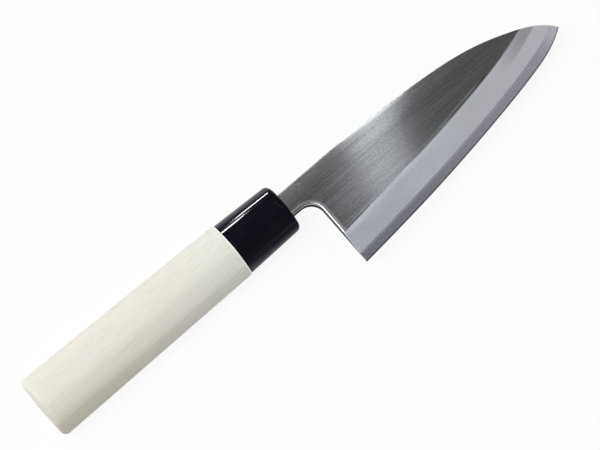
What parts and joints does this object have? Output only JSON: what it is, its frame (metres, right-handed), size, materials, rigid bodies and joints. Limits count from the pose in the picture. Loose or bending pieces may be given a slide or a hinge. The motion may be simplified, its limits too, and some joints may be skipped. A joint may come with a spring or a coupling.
{
  "type": "boning knife",
  "caption": "Small single-bevel deba for boning fish: laminated steel blade with a notched heel, D-shaped pale wood handle and black ferrule.",
  "frame": {"origin": "centre of the ferrule's front face, where the neck of the blade leaves the handle", "axes": "+X along the handle towards the tip, +Y towards the spine, +Z towards the bevelled right side of the blade"},
  "size_m": [0.2508, 0.0508, 0.0196],
  "materials": {
    "soft_iron": "satin brushed lengthwise on the flat, matt on the bevel",
    "hard_steel": "finely ground, bright at the edge",
    "black_plastic": "polished black",
    "handle_wood": "plain sanded magnolia, straight fine grain",
    "seal_resin": "cured black resin"
  },
  "bodies": {
    "root": {"blade_iron": "soft_iron", "edge_steel": "hard_steel", "ferrule": "black_plastic", "handle_wood": "handle_wood", "mouth_seal": "seal_resin"}
  },
  "joints": []
}
